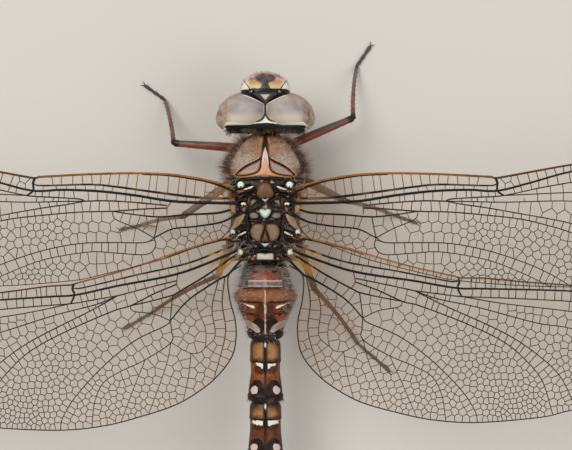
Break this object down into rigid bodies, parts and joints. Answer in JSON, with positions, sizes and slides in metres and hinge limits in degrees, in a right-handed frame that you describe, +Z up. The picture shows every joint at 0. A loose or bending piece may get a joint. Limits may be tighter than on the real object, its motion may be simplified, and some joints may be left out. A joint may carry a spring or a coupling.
{
  "type": "dragonfly",
  "caption": "Life-size model of a brown hawker dragonfly standing on its legs with the wings held out flat.",
  "frame": {"origin": "on the floor under the insect, midway between the front foot and the tail tip", "axes": "+X to the insect's right wing tips, +Y towards its head, +Z up from the floor"},
  "size_m": [0.0988, 0.072, 0.0143],
  "materials": {
    "thorax_shell": "hairy brown shell",
    "head_shell": "satin black shell with brown bristles",
    "eye": "glossy facetted eye, lilac grey over brown",
    "face": "satin cream and yellow shell with dark marks",
    "feeler": "matt black",
    "wing": "clear membrane, faint amber near the body, dark veins",
    "leg": "satin red-brown",
    "foot": "satin black-brown",
    "abdomen": "satin red-brown shell with black and cream marks",
    "tail": "satin black-brown shell"
  },
  "bodies": {
    "root": {"thorax": "thorax_shell", "prothorax": "thorax_shell", "head": "head_shell", "crown": "head_shell", "eye_left": "eye", "eye_right": "eye", "face": "face", "mouthparts": "face", "antenna_left": "feeler", "antenna_right": "feeler", "wing_fore_left": "wing", "wing_fore_right": "wing", "wing_hind_left": "wing", "wing_hind_right": "wing", "leg_fore_left_femur": "leg", "leg_fore_left_tibia": "leg", "leg_fore_left_tarsus": "foot", "leg_fore_right_femur": "leg", "leg_fore_right_tibia": "leg", "leg_fore_right_tarsus": "foot", "leg_middle_left_femur": "leg", "leg_middle_left_tibia": "leg", "leg_middle_left_tarsus": "foot", "leg_middle_right_femur": "leg", "leg_middle_right_tibia": "leg", "leg_middle_right_tarsus": "foot", "leg_hind_left_femur": "leg", "leg_hind_left_tibia": "leg", "leg_hind_left_tarsus": "foot", "leg_hind_right_femur": "leg", "leg_hind_right_tibia": "leg", "leg_hind_right_tarsus": "foot", "abdomen_1": "abdomen", "abdomen_2": "abdomen", "abdomen_3": "abdomen", "abdomen_4": "abdomen", "abdomen_5": "abdomen", "abdomen_6": "abdomen", "abdomen_7": "abdomen", "abdomen_8": "tail", "abdomen_9": "tail", "abdomen_10": "tail", "cercus_left": "tail", "cercus_right": "tail", "ovipositor": "tail"}
  },
  "joints": []
}
